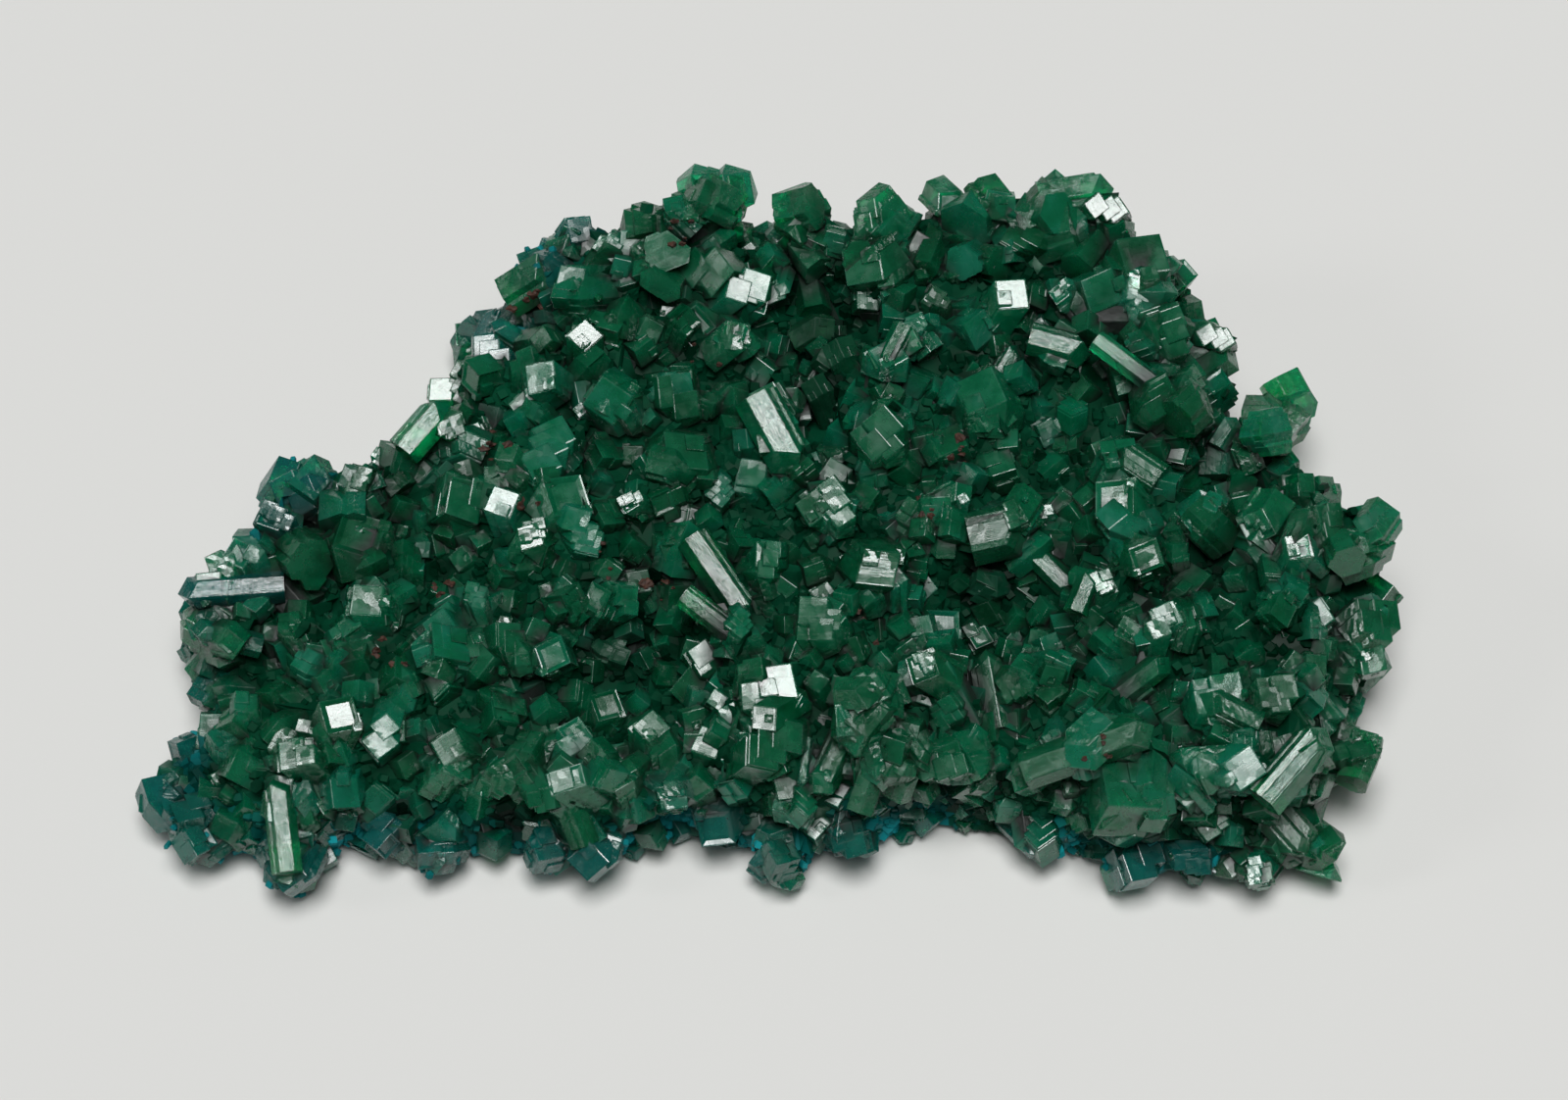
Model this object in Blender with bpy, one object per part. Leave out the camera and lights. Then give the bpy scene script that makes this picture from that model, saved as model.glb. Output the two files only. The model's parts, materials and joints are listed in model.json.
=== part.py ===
"""A plate of dioptase lying on its back: stubby green crystals grown together on a thin crust.

The frame has +X to the right, +Y away from the viewer and +Z up. The origin is under the middle
of the plate, on the surface that it lies on. Lengths are in metres.

Places on the plate are read off a reference picture of 1600 x 1122 pixels, and are turned into
metres by the sight lines of the camera that took it.
"""

import math
import random

import bmesh
import bpy
from mathutils import Matrix, Vector, noise

MM = 0.001

# The plate as a whole.
PLATE_WIDTH = 100 * MM
MIDDLE_HEIGHT = 15.1 * MM
RISE_TO_THE_BACK = 0.14
RISE_TO_THE_RIGHT = 0.05
RIM_HEIGHT = 2.5 * MM
SHOULDER = 4 * MM
CRUST_DEPTH = 2.2 * MM
CRUST_ROUGHNESS = 0.8 * MM
CRUST_INSET = 1.7 * MM
UNDERCUT = 5 * MM
UNDERCUT_HEIGHT = 1.8 * MM
CLEAR_OF_TABLE = 0.4 * MM

# The camera that took the reference picture.
PLATE_WIDTH_PX = 1306
PICTURE_CENTRE = (800, 561)
VIEW_ELEVATION = math.radians(58)
VIEW_DISTANCE = 400 * MM
AIM = Vector((0.9 * MM, -2.8 * MM, 11 * MM))
PX = PLATE_WIDTH / PLATE_WIDTH_PX

# Where the rim shows in the picture: its crest at the back, its foot at the front.
TOP_OF_PLATE_PX = 190
FOOT_OF_PLATE_PX = 890
CREST_HEIGHT = 16 * MM
FOOT_HEIGHT = 2 * MM
OUTLINE_PX = [
    (142, 800), (175, 762), (188, 720), (178, 660), (180, 600), (240, 540), (300, 482), (392, 432),
    (440, 372), (498, 325), (522, 282), (548, 222), (640, 200), (740, 190), (822, 196), (850, 215),
    (940, 198), (1040, 186), (1085, 168), (1150, 190), (1222, 262), (1256, 340), (1268, 440), (1322, 430),
    (1330, 480), (1404, 522), (1438, 620), (1408, 690), (1386, 790), (1345, 868), (1285, 896), (1165, 896),
    (1080, 868), (960, 846), (888, 880), (800, 884), (712, 850), (600, 898), (540, 874), (440, 878),
    (334, 862), (304, 914), (215, 876),
]

# Hollows between the crystals: place and radius in the picture, and depth.
HOLLOWS = [
    (640, 658, 46, 8 * MM), (825, 300, 34, 6 * MM), (838, 392, 26, 5 * MM), (1000, 590, 50, 7 * MM),
    (1240, 560, 34, 7 * MM), (1272, 478, 34, 6 * MM), (512, 838, 44, 6 * MM), (872, 700, 28, 5 * MM),
    (686, 590, 26, 5 * MM), (1105, 560, 20, 3 * MM), (400, 850, 40, 5 * MM), (1010, 800, 26, 4 * MM),
]
SWELL = 1.1 * MM
SWELL_SPAN = 17 * MM

# A crystal: a six-sided prism closed by three nearly square faces.
END_FACE_SLOPE = math.radians(50.97)
END_FACE_DROP = math.tan(END_FACE_SLOPE)
END_FACE_SIDE = math.sqrt(1 + (END_FACE_DROP / 2) ** 2)
END_FACE_DIAGONAL = math.sqrt(1 + END_FACE_DROP**2)
PRISM_LENGTH = 4.0
LONGEST_ROOT = 8 * MM

# Crystals that show one end face: middle of the face and side of the face in the picture, and the
# turn of its sides in degrees. Some face the lamp, some nearly do, and the others lean off it.
LAMP_ELEVATION = math.radians(82)
FACING_THE_LAMP = [
    (414, 415, 34, 50), (450, 397, 24, 0), (597, 342, 28, 45), (768, 292, 34, -16), (1133, 213, 29, 35),
    (1033, 300, 31, 5), (1089, 356, 33, 20), (217, 600, 34, 5), (347, 729, 38, 15), (512, 512, 35, -20),
    (742, 599, 28, 40), (798, 452, 40, 20), (1124, 596, 24, 20), (1285, 888, 24, 10), (1331, 767, 36, 45),
    (1326, 557, 25, 10), (793, 696, 40, 10), (644, 513, 21, 30), (286, 826, 26, 0), (1244, 345, 28, 30),
]
NEARLY_FACING_THE_LAMP = [
    (480, 343, 31, 5), (661, 257, 29, -35), (618, 250, 22, -35), (585, 290, 36, -15), (750, 343, 30, -5),
    (933, 332, 24, 20), (907, 361, 29, 30), (969, 207, 24, -5), (1161, 297, 26, -10), (1085, 300, 24, 30),
    (1137, 508, 38, 0), (1170, 568, 30, 15), (1190, 630, 28, 20), (846, 515, 40, 35), (597, 546, 36, -10),
    (896, 579, 38, -10), (834, 627, 38, 0), (773, 711, 32, 10), (1268, 783, 36, 30), (1308, 705, 32, 10),
    (303, 773, 35, 10), (206, 575, 25, 20), (245, 571, 36, -32), (279, 530, 30, -20), (361, 490, 30, -20),
    (376, 614, 34, 0), (459, 433, 27, 20), (552, 385, 30, 10), (540, 547, 34, 10), (1037, 524, 24, 20),
    (941, 680, 28, 15), (687, 811, 28, 10), (1248, 707, 40, 5), (1401, 673, 26, 15), (1002, 645, 28, 25),
]
LEANING_OFF_THE_LAMP = [
    (724, 277, 43, 30), (739, 204, 46, 20), (803, 209, 30, -5), (880, 270, 40, 0), (890, 226, 38, -5),
    (1126, 298, 40, 30), (1165, 262, 50, 10), (1040, 242, 30, 60), (1018, 210, 30, -5), (561, 451, 46, 25),
    (620, 411, 42, 40), (579, 505, 40, 20), (477, 510, 42, -5), (297, 501, 38, 15), (367, 545, 45, -10),
    (525, 653, 36, 10), (460, 655, 38, 5), (786, 762, 45, 0), (962, 774, 40, 10), (1153, 800, 52, 5),
    (1396, 540, 30, 20), (1412, 630, 38, 10), (1355, 530, 30, 15), (1282, 538, 30, 10), (1143, 462, 34, 5),
    (1190, 340, 42, 25), (1000, 400, 44, 15), (900, 440, 40, 30), (700, 460, 42, 5), (690, 400, 38, 20),
    (165, 805, 34, 20), (205, 850, 34, 40), (292, 890, 30, 30), (384, 848, 30, 45), (440, 858, 30, 10),
    (560, 860, 34, 20), (600, 878, 30, 35), (730, 846, 34, 10), (800, 864, 34, 25), (868, 860, 30, 5),
    (1062, 846, 32, 35), (1165, 880, 34, 20), (1218, 876, 30, 0), (1340, 850, 34, 30), (1382, 760, 32, 20),
]
LEAN_NEAR_THE_LAMP = (6, 12)
LEAN_OFF_THE_LAMP = (16, 30)
STANDING_PROUD = 0.6 * MM
SHARE_LEANT = 0.3

# Crystals that lie on their side: root and tip in the picture, and width there.
LYING_CRYSTALS = [
    (496, 326, 556, 364, 22), (1142, 362, 1192, 402, 24), (712, 618, 764, 658, 26), (1048, 556, 1104, 612, 28),
    (1076, 776, 1184, 738, 40), (1146, 706, 1196, 668, 28), (1268, 456, 1318, 418, 36), (190, 640, 250, 655, 26),
]

# Crystals that fill the plate between those: how many are tried, their radii, the least distance
# between tips as a share of both radii, and how far the tips are from the crest in radii.
LARGE = (600, (2.2 * MM, 2.8 * MM), 0.8, (-0.6, 0.4))
MIDDLING = (1500, (1.8 * MM, 2.3 * MM), 0.88, (-0.8, 0.3))
SUNKEN = (1200, (2.1 * MM, 2.6 * MM), 0.88, (-1.0, -0.5))
ROUND_THE_RIM = (1.8 * MM, 2.4 * MM)
SEED = 11


def ray_through(px, py):
    """The camera's place, and the direction of its sight line through a pixel."""
    back = Vector((0, -math.cos(VIEW_ELEVATION), math.sin(VIEW_ELEVATION)))
    up = Vector((0, math.sin(VIEW_ELEVATION), math.cos(VIEW_ELEVATION)))
    across = Vector((px - PICTURE_CENTRE[0], 0, 0))
    direction = across + up * (PICTURE_CENTRE[1] - py) - back * VIEW_DISTANCE / PX
    return AIM + back * VIEW_DISTANCE, direction.normalized()


def at_height(px, py, height):
    """The point of that height seen at a pixel."""
    eye, direction = ray_through(px, py)
    return eye + direction * ((height - eye.z) / direction.z)


def shown_at(point):
    """The pixel where a point is seen."""
    eye, _ = ray_through(0, 0)
    across = (point - eye).x
    up = (point - eye).dot(Vector((0, math.sin(VIEW_ELEVATION), math.cos(VIEW_ELEVATION))))
    ahead = (eye - point).dot(Vector((0, -math.cos(VIEW_ELEVATION), math.sin(VIEW_ELEVATION))))
    scale = VIEW_DISTANCE / PX / ahead
    return Vector((PICTURE_CENTRE[0] + across * scale, PICTURE_CENTRE[1] - up * scale))


def outline_in_metres():
    points = []
    for px, py in OUTLINE_PX:
        share = (FOOT_OF_PLATE_PX - py) / (FOOT_OF_PLATE_PX - TOP_OF_PLATE_PX)
        height = FOOT_HEIGHT + (CREST_HEIGHT - FOOT_HEIGHT) * share
        points.append(at_height(px, py, height).to_2d())
    return points


OUTLINE = outline_in_metres()
OUTLINE_SHOWN = [Vector(pixel) for pixel in OUTLINE_PX]
HOLLOW_PLACES = [
    (at_height(px, py, MIDDLE_HEIGHT).to_2d(), radius * PX, depth) for px, py, radius, depth in HOLLOWS
]


def depth_inside(point, outline=OUTLINE):
    """How far a point lies inside an outline; below zero outside it."""
    nearest = math.inf
    inside = False
    for a, b in zip(outline, outline[1:] + outline[:1]):
        along = b - a
        share = max(0, min(1, (point - a).dot(along) / along.length_squared))
        nearest = min(nearest, (point - a - along * share).length)
        if (a.y > point.y) != (b.y > point.y):
            inside ^= point.x < a.x + (point.y - a.y) / along.y * along.x
    return nearest if inside else -nearest


def crest(x, y):
    """Height of the crystals' tips at a place in the plan, on average."""
    point = Vector((x, y))
    depth = depth_inside(point)
    if depth <= 0:
        return 0.0
    height = MIDDLE_HEIGHT + RISE_TO_THE_BACK * y + RISE_TO_THE_RIGHT * x
    height += SWELL * noise.noise(Vector((x, y, 0)) / SWELL_SPAN)
    for middle, radius, hollow in HOLLOW_PLACES:
        height -= hollow * math.exp(-(((point - middle).length / radius) ** 2))
    share = min(1.0, depth / SHOULDER)
    return RIM_HEIGHT + (max(height, 3 * RIM_HEIGHT) - RIM_HEIGHT) * math.sqrt(1 - (1 - share) ** 2)


def crest_normal(x, y):
    step = 1.2 * MM
    slope_x = (crest(x + step, y) - crest(x - step, y)) / (2 * step)
    slope_y = (crest(x, y + step) - crest(x, y - step)) / (2 * step)
    return Vector((-slope_x, -slope_y, 1)).normalized()


def crest_under(px, py):
    """The point of the crystals' crest seen at a pixel, and the direction from there to the eye."""
    _, direction = ray_through(px, py)
    step = 0.25 * MM
    point = at_height(px, py, 30 * MM)
    while point.z > max(2 * RIM_HEIGHT, crest(point.x, point.y)):
        point = point + direction * step
    return point, -direction


class Crystal:
    def __init__(self, tip, turn, radius):
        self.tip = tip
        self.turn = turn
        self.radius = radius
        self.axis = turn.col[2].copy()
        self.length = self.length_to_the_crust()
        self.face = None

    def length_to_the_crust(self):
        """Length that buries the root in the crust and keeps it off the table."""
        reach = self.radius * math.sqrt(max(0, 1 - self.axis.z**2))
        length = 2.0 * self.radius
        while length < LONGEST_ROOT:
            root = self.tip - self.axis * (length + 0.4 * MM)
            if root.z < reach + CLEAR_OF_TABLE:
                break
            if root.z < crest(root.x, root.y) - CRUST_DEPTH - reach:
                break
            length += 0.4 * MM
        return length

    def lowest(self):
        reach = self.radius * math.sqrt(max(0, 1 - self.axis.z**2))
        shoulder = self.tip - self.axis * END_FACE_DROP * self.radius
        root = self.tip - self.axis * self.length
        return min(shoulder.z, root.z) - reach


def hides_a_face(crystal, crystals):
    """Whether the crystal's tip comes between the eye and a face that is to be seen."""
    for other in crystals:
        if other.face is None:
            continue
        centre, towards_eye, side = other.face
        ahead = (crystal.tip - centre).dot(towards_eye)
        if ahead < -0.2 * crystal.radius:
            continue
        off = (crystal.tip - centre - towards_eye * ahead).length
        if off < 0.45 * side + 0.7 * crystal.radius:
            return True
    return False


def turned_from(normal, angle, bearing):
    """The normal leant over by an angle, towards a bearing round it."""
    side = normal.orthogonal().normalized()
    side.rotate(Matrix.Rotation(bearing, 3, normal))
    return (normal * math.cos(angle) + side * math.sin(angle)).normalized()


def matrix_of(axis, towards_a_corner):
    """Turn that lays Z along the crystal's axis, and Y towards one of its end faces."""
    y = (towards_a_corner - axis * towards_a_corner.dot(axis)).normalized()
    return Matrix((y.cross(axis), y, axis)).transposed()


def grow_shown_faces(rng, crystals, faces, lean):
    """Crystals with one end face turned to the eye and the lamp, up to a lean."""
    lamp = Vector((0, -math.cos(LAMP_ELEVATION), math.sin(LAMP_ELEVATION)))
    for px, py, side_px, turn in faces:
        centre, towards_eye = crest_under(px, py)
        towards_lamp = (towards_eye + lamp).normalized()
        angle = math.radians(rng.uniform(*lean))
        normal = turned_from(towards_lamp, angle, rng.uniform(0, 2 * math.pi))
        side = side_px * PX
        radius = side / END_FACE_SIDE
        right = Vector((0, 1, 0)).cross(normal).normalized()
        up = normal.cross(right)
        centre = centre + towards_eye * rng.uniform(0.3, 1.0) * STANDING_PROUD
        upright = turn + 45 + 90 * ((90 - turn) // 90)
        leant = rng.choice((-90, 90)) if rng.random() < SHARE_LEANT else 0
        best = None
        for bearing in (upright + leant, upright, upright - leant, upright + 90, upright - 90, upright + 180):
            bearing = math.radians(bearing)
            to_apex = right * math.cos(bearing) + up * math.sin(bearing)
            axis = normal * math.cos(END_FACE_SLOPE) + to_apex * math.sin(END_FACE_SLOPE)
            tip = centre + to_apex * END_FACE_DIAGONAL / 2 * radius
            crystal = Crystal(tip, matrix_of(axis, normal), radius)
            depth = min(depth_inside((tip - axis * crystal.length).to_2d()), 1.5 * radius)
            if best is None or depth > best + 0.1 * MM:
                best = depth
                chosen = crystal
        chosen.face = (centre, towards_eye, side)
        crystals.append(chosen)


def grow_lying(rng, crystals):
    """Crystals that lie on their side, with a prism face turned to the eye."""
    for root_x, root_y, tip_x, tip_y, width_px in LYING_CRYSTALS:
        root, towards_eye = crest_under(root_x, root_y)
        tip, _ = crest_under(tip_x, tip_y)
        tip = tip + towards_eye * rng.uniform(0.8, 1.4) * MM
        axis = (tip - root).normalized()
        side_face = (towards_eye - axis * towards_eye.dot(axis)).normalized()
        corner = side_face.copy()
        corner.rotate(Matrix.Rotation(math.radians(30), 3, axis))
        crystal = Crystal(tip, matrix_of(axis, corner), width_px * PX / 2)
        crystal.length = max(2.2 * crystal.radius, (tip - root).length)
        crystal.face = ((root + tip) / 2, towards_eye, width_px * PX)
        crystals.append(crystal)


def grow_on_the_crest(rng, crystals, tries, radii, spacing, lift):
    lowest = Vector((min(p.x for p in OUTLINE), min(p.y for p in OUTLINE)))
    highest = Vector((max(p.x for p in OUTLINE), max(p.y for p in OUTLINE)))
    for _ in range(tries):
        x = rng.uniform(lowest.x, highest.x)
        y = rng.uniform(lowest.y, highest.y)
        radius = rng.uniform(*radii)
        lean = math.radians(rng.uniform(5, 58))
        bearing = rng.uniform(0, 2 * math.pi)
        spin = rng.uniform(0, 2 * math.pi / 3)
        height = rng.uniform(*lift) * radius
        if depth_inside(Vector((x, y))) < 0.4 * radius:
            continue
        normal = crest_normal(x, y)
        tip = Vector((x, y, crest(x, y))) + normal * height
        grow_if_free(crystals, tip, turned_from(normal, lean, bearing), spin, radius, spacing)


def grow_round_the_rim(rng, crystals, radii, spacing):
    """Crystals on the plate's edge, which point outwards."""
    for a, b in zip(OUTLINE, OUTLINE[1:] + OUTLINE[:1]):
        along = b - a
        outward = Vector((-along.y, along.x, 0)).normalized()
        steps = max(1, round(along.length / (1.1 * MM)))
        for step in range(steps):
            place = a + along * (step + rng.random()) / steps
            radius = rng.uniform(*radii)
            inner = place - outward.to_2d() * SHOULDER
            height = rng.uniform(RIM_HEIGHT + 0.5 * MM, 0.85 * crest(inner.x, inner.y))
            lean = math.radians(rng.uniform(5, 50))
            bearing = rng.uniform(0, 2 * math.pi)
            spin = rng.uniform(0, 2 * math.pi / 3)
            tip = Vector((place.x, place.y, height)) - outward * rng.uniform(0, 1.2) * radius
            axis = turned_from((outward + Vector((0, 0, 0.3))).normalized(), lean, bearing)
            grow_if_free(crystals, tip, axis, spin, radius, spacing)


def grow_if_free(crystals, tip, axis, spin, radius, spacing):
    if any((tip - other.tip).length < spacing * (radius + other.radius) for other in crystals):
        return
    turn = axis.to_track_quat("Z", "Y").to_matrix() @ Matrix.Rotation(spin, 3, "Z")
    crystal = Crystal(tip, turn, radius)
    if depth_inside(shown_at(tip), OUTLINE_SHOWN) < 0:
        return
    if crystal.lowest() < CLEAR_OF_TABLE or hides_a_face(crystal, crystals):
        return
    crystals.append(crystal)


def all_crystals():
    rng = random.Random(SEED)
    crystals = []
    grow_shown_faces(rng, crystals, FACING_THE_LAMP, (0, 2))
    grow_shown_faces(rng, crystals, NEARLY_FACING_THE_LAMP, LEAN_NEAR_THE_LAMP)
    grow_shown_faces(rng, crystals, LEANING_OFF_THE_LAMP, LEAN_OFF_THE_LAMP)
    grow_lying(rng, crystals)
    grow_on_the_crest(rng, crystals, *LARGE)
    grow_round_the_rim(rng, crystals, ROUND_THE_RIM, 0.9)
    grow_on_the_crest(rng, crystals, *MIDDLING)
    grow_on_the_crest(rng, crystals, *SUNKEN)
    return crystals


def unit_crystal():
    """A crystal of radius 1 with its tip at the origin and its root below."""
    bm = bmesh.new()
    bmesh.ops.create_cone(
        bm, cap_ends=True, segments=6, radius1=1, radius2=1, depth=PRISM_LENGTH,
        matrix=Matrix.Translation((0, 0, -PRISM_LENGTH / 2)),
    )
    for turn in range(3):
        bearing = math.radians(120 * turn + 90)
        normal = Vector((math.cos(bearing), math.sin(bearing), 0)) * math.sin(END_FACE_SLOPE)
        normal.z = math.cos(END_FACE_SLOPE)
        geometry = bm.verts[:] + bm.edges[:] + bm.faces[:]
        cut = bmesh.ops.bisect_plane(bm, geom=geometry, plane_co=(0, 0, 0), plane_no=normal, clear_outer=True)
        rim = [item for item in cut["geom_cut"] if isinstance(item, bmesh.types.BMEdge)]
        bmesh.ops.contextual_create(bm, geom=rim)
    bmesh.ops.remove_doubles(bm, verts=bm.verts, dist=0.0001)
    bmesh.ops.recalc_face_normals(bm, faces=bm.faces)
    return bm


def crystal_mesh(crystals):
    bm = bmesh.new()
    for crystal in crystals:
        one = unit_crystal()
        for vertex in one.verts:
            if vertex.co.z < -PRISM_LENGTH + 0.01:
                vertex.co.z = -crystal.length / crystal.radius
        place = Matrix.Translation(crystal.tip) @ crystal.turn.to_4x4() @ Matrix.Scale(crystal.radius, 4)
        bmesh.ops.transform(one, matrix=place, verts=one.verts)
        mesh = bpy.data.meshes.new("one")
        one.to_mesh(mesh)
        one.free()
        bm.from_mesh(mesh)
        bpy.data.meshes.remove(mesh)
    mesh = bpy.data.meshes.new("crystals")
    bm.to_mesh(mesh)
    bm.free()
    return mesh


def crust_block():
    """The crust's top and underside as a block that is wider than the plate."""
    bm = bmesh.new()
    bmesh.ops.create_grid(bm, x_segments=17, y_segments=11, size=0.5)
    for vertex in bm.verts:
        vertex.co.x *= PLATE_WIDTH * 1.1
        vertex.co.y *= PLATE_WIDTH * 0.68
    top = bmesh.ops.extrude_face_region(bm, geom=bm.faces[:], use_keep_orig=True)
    top_verts = [item for item in top["geom"] if isinstance(item, bmesh.types.BMVert)]
    rng = random.Random(SEED)
    for vertex in top_verts:
        vertex.co.z = max(crest(vertex.co.x, vertex.co.y) - CRUST_DEPTH, 1.6 * RIM_HEIGHT)
        vertex.co.z += rng.uniform(-1, 1) * CRUST_ROUGHNESS
    for vertex in set(bm.verts) - set(top_verts):
        depth = depth_inside(vertex.co.to_2d())
        share = max(0.0, 1 - depth / UNDERCUT)
        vertex.co.z = UNDERCUT_HEIGHT * min(1.0, share) ** 2
    bmesh.ops.recalc_face_normals(bm, faces=bm.faces)
    mesh = bpy.data.meshes.new("crust")
    bm.to_mesh(mesh)
    bm.free()
    return mesh


def crust_outline(collection):
    """The plate's outline, drawn in a little, as a tall prism that trims the block."""
    curve = bpy.data.curves.new("crust_outline", "CURVE")
    curve.dimensions = "2D"
    curve.fill_mode = "BOTH"
    curve.extrude = 30 * MM
    spline = curve.splines.new("POLY")
    middle = sum(OUTLINE, Vector((0, 0))) / len(OUTLINE)
    spline.points.add(len(OUTLINE) - 1)
    for point, place in zip(spline.points, OUTLINE):
        drawn_in = place + (middle - place).normalized() * CRUST_INSET
        point.co = (drawn_in.x, drawn_in.y, 0, 1)
    spline.use_cyclic_u = True
    drawn = bpy.data.objects.new("crust_outline_curve", curve)
    collection.objects.link(drawn)
    bpy.context.view_layer.update()
    evaluated = drawn.evaluated_get(bpy.context.evaluated_depsgraph_get())
    mesh = bpy.data.meshes.new_from_object(evaluated)
    bpy.data.objects.remove(drawn)
    bm = bmesh.new()
    bm.from_mesh(mesh)
    bmesh.ops.remove_doubles(bm, verts=bm.verts, dist=0.01 * MM)
    bmesh.ops.recalc_face_normals(bm, faces=bm.faces)
    bm.to_mesh(mesh)
    bm.free()
    return mesh


def helper(name, mesh, collection):
    obj = bpy.data.objects.new(name, mesh)
    obj.hide_render = True
    obj.display_type = "WIRE"
    collection.objects.link(obj)
    return obj


def dioptase_green():
    material = bpy.data.materials.new("dioptase")
    material.use_nodes = True
    shader = material.node_tree.nodes["Principled BSDF"]
    shader.inputs["Base Color"].default_value = (0.01, 0.16, 0.075, 1)
    shader.inputs["Roughness"].default_value = 0.15
    shader.inputs["Metallic"].default_value = 0.0
    return material


def outer_shell(bm):
    """Keeps the plate's outer surface, and drops gaps sealed between the roots of the crystals."""
    unseen = set(bm.verts)
    shells = []
    while unseen:
        reached = [unseen.pop()]
        for vertex in reached:
            for edge in vertex.link_edges:
                other = edge.other_vert(vertex)
                if other in unseen:
                    unseen.remove(other)
                    reached.append(other)
        shells.append(reached)
    shells.sort(key=len)
    for shell in shells[:-1]:
        bmesh.ops.delete(bm, geom=shell, context="VERTS")


def main():
    for obj in list(bpy.data.objects):
        bpy.data.objects.remove(obj)
    specimen = bpy.data.collections.new("dioptase")
    helpers = bpy.data.collections.new("helpers")
    bpy.context.scene.collection.children.link(specimen)
    bpy.context.scene.collection.children.link(helpers)

    plate = bpy.data.objects.new("dioptase_plate", crust_block())
    specimen.objects.link(plate)
    plate.data.materials.append(dioptase_green())

    trim = plate.modifiers.new("outline", "BOOLEAN")
    trim.operation = "INTERSECT"
    trim.object = helper("outline", crust_outline(helpers), helpers)
    crystals = all_crystals()
    grown = plate.modifiers.new("crystals", "BOOLEAN")
    grown.operation = "UNION"
    grown.use_self = True
    grown.object = helper("crystals", crystal_mesh(crystals), helpers)

    bpy.context.view_layer.update()
    evaluated = plate.evaluated_get(bpy.context.evaluated_depsgraph_get())
    grown_mesh = bpy.data.meshes.new_from_object(evaluated)
    plate.modifiers.clear()
    bm = bmesh.new()
    bm.from_mesh(grown_mesh)
    outer_shell(bm)
    bm.to_mesh(grown_mesh)
    bm.free()
    plate.data = grown_mesh


main()
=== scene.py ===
"""Looks for a plate of dioptase: stubby green crystals grown together on a thin blue-green crust.

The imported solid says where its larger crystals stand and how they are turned. Each is grown again
there with the steps and grooves of the real one, and smaller ones fill the gaps between them.
"""

import json
import math
import random
from itertools import product

import bmesh
import bpy
from mathutils import Matrix, Vector, noise
from mathutils.bvhtree import BVHTree

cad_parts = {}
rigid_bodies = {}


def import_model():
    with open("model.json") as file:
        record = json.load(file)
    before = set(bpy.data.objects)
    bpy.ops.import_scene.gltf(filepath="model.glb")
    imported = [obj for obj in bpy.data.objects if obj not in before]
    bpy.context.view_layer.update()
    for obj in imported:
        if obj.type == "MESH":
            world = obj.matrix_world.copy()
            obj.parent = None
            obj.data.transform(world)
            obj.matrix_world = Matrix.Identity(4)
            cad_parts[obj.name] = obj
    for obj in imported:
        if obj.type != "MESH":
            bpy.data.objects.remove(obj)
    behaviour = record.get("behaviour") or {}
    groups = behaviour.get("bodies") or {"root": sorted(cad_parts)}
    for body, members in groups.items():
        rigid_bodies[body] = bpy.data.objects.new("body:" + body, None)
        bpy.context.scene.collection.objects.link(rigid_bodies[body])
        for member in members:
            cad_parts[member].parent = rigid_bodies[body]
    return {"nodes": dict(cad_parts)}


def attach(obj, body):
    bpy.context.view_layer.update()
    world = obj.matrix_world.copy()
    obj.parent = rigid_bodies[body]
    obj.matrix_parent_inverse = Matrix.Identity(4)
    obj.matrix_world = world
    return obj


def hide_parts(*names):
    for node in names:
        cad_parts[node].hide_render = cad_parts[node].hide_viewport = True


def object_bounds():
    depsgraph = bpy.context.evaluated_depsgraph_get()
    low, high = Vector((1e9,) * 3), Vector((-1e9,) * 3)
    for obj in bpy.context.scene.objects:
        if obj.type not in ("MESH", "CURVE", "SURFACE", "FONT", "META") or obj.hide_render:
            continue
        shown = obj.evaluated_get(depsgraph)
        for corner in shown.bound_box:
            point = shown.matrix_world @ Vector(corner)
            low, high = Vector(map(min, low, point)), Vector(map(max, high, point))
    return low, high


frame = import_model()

solid_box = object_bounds()
solid = frame["nodes"]["dioptase_plate"]
MM = 0.001


# The camera looks down on the plate as the reference picture does. Its frame is 1600 x 1122
# pixels, in which the plate is 1306 pixels wide.
PICTURE_WIDTH_PX = 1600
PICTURE_CENTRE = (800, 561)
PX = 100 * MM / 1306
VIEW_ELEVATION = math.radians(58)
VIEW_DISTANCE = 400 * MM
AIM = Vector((0.9 * MM, -2.8 * MM, 11 * MM))
backwards = Vector((0, -math.cos(VIEW_ELEVATION), math.sin(VIEW_ELEVATION)))
upwards = Vector((0, math.sin(VIEW_ELEVATION), math.cos(VIEW_ELEVATION)))
eye = AIM + backwards * VIEW_DISTANCE

bpy.ops.object.camera_add(location=eye, rotation=backwards.to_track_quat("Z", "Y").to_euler())
camera = bpy.context.object
camera.data.sensor_width = 36
camera.data.lens = camera.data.sensor_width * VIEW_DISTANCE / PX / PICTURE_WIDTH_PX
camera.data.clip_start = 0.01
bpy.context.scene.camera = camera


# The crystal moulds. A dioptase crystal is a six-sided prism closed by three nearly square faces.
# It grows as a bundle of smaller ones that all point the same way, which steps and notches its
# faces, and some faces are sunk in the middle where growth stopped first.
END_FACE_SLOPE = math.radians(50.97)
END_FACE_DROP = math.tan(END_FACE_SLOPE)
END_BEARINGS = [math.radians(bearing) for bearing in (90, 210, 330)]
MOULD_LENGTH = 3.4
CUT_SLACK = 0.0001
SINK = 0.05
SUNK_FRAME = (0.16, 0.26)
SMALL_SUNK_FRAME = 0.22
SUNK_NEIGHBOURS = 0.3
FACES_DOWN = -0.5
FACES_UP = 0.3


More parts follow.
